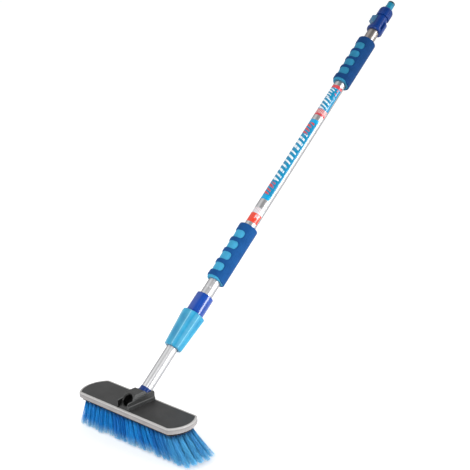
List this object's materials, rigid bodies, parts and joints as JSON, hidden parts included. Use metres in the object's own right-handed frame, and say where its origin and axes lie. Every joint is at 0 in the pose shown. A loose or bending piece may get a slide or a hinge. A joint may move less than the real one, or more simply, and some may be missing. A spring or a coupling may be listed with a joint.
{
  "type": "telescopic wash brush",
  "caption": "Flow-through wash brush on a telescoping pole, with a twist lock, foam grips, an on-off slider and a hose nipple at the top.",
  "frame": {"origin": "middle of the flat face that the bristle tips stand on", "axes": "+Z away from the washed surface, X along the brush head, the pole leaning back towards +Y in the YZ plane"},
  "size_m": [0.315, 0.849, 0.7526],
  "materials": {
    "head_plastic": "fine moulded texture",
    "block_plastic": "satin moulded",
    "bumper_rubber": "soft grey rubber",
    "black_rubber": "seal rubber",
    "bristle_fibre": "split-tip synthetic filament",
    "steel": "zinc plated",
    "aluminium": "satin anodised",
    "navy_plastic": "gloss moulded",
    "royal_plastic": "gloss moulded",
    "sky_plastic": "satin moulded",
    "natural_plastic": "natural acetal",
    "grip_cover_foam": "closed-cell foam",
    "grip_core_foam": "closed-cell foam",
    "printed_film": "printed film"
  },
  "bodies": {
    "outer_pole": {"outer_tube": "aluminium", "label_lower": "printed_film", "label_middle": "printed_film", "label_upper": "printed_film", "lower_grip_core": "grip_core_foam", "lower_grip_cover": "grip_cover_foam", "upper_grip_core": "grip_core_foam", "upper_grip_cover": "grip_cover_foam", "lock_body": "royal_plastic", "wiper_ring": "black_rubber", "valve_body": "navy_plastic", "valve_seals": "black_rubber", "valve_bonnet": "navy_plastic", "hose_nipple": "sky_plastic", "nipple_seal": "black_rubber"},
    "inner_pole": {"inner_tube": "aluminium", "pole_ferrule": "navy_plastic", "ferrule_seal": "black_rubber", "piston": "natural_plastic", "piston_seals": "black_rubber"},
    "ferrule_carrier": {"head_washer": "black_rubber"},
    "brush_head": {"head_shell": "head_plastic", "head_hub": "head_plastic", "bristle_block": "block_plastic", "block_screws": "steel", "bumper_strip": "bumper_rubber", "block_gasket": "black_rubber", "bristle_row_1": "bristle_fibre", "bristle_row_2": "bristle_fibre", "bristle_row_3": "bristle_fibre", "bristle_row_4": "bristle_fibre", "bristle_row_5": "bristle_fibre"},
    "lock_collet": {"collet": "natural_plastic"},
    "lock_nut": {"lock_nut": "sky_plastic"},
    "valve_slider": {"thumb_slider": "sky_plastic", "valve_spool": "natural_plastic", "spool_seals": "black_rubber"}
  },
  "joints": [
    {"name": "ferrule_back_off", "type": "slide", "parent": "brush_head", "child": "ferrule_carrier", "axis": [0, 0.766, 0.6428], "range_m": [0, 0.01501]},
    {"name": "pole_unscrew", "type": "hinge", "parent": "ferrule_carrier", "child": "inner_pole", "pos_m": [0, 0.01526, 0.08228], "axis": [0, 0.766, 0.6428], "range_deg": [0, 1080]},
    {"name": "pole_extend", "type": "slide", "parent": "inner_pole", "child": "outer_pole", "axis": [0, 0.766, 0.6428], "range_m": [0, 0.56]},
    {"name": "collet_shift", "type": "slide", "parent": "outer_pole", "child": "lock_collet", "axis": [0, -0.766, -0.6428], "range_m": [0, 0.00301]},
    {"name": "lock_nut_turn", "type": "hinge", "parent": "lock_collet", "child": "lock_nut", "pos_m": [0, 0.12557, 0.17485], "axis": [0, -0.766, -0.6428], "range_deg": [0, 270]},
    {"name": "valve_slide", "type": "slide", "parent": "outer_pole", "child": "valve_slider", "axis": [0, -0.766, -0.6428], "range_m": [0, 0.006]}
  ],
  "couplings": [
    {"joint": "ferrule_back_off", "follows": "pole_unscrew", "m_per_rad": 0.00079577},
    {"joint": "collet_shift", "follows": "lock_nut_turn", "m_per_rad": 0.00063662}
  ]
}
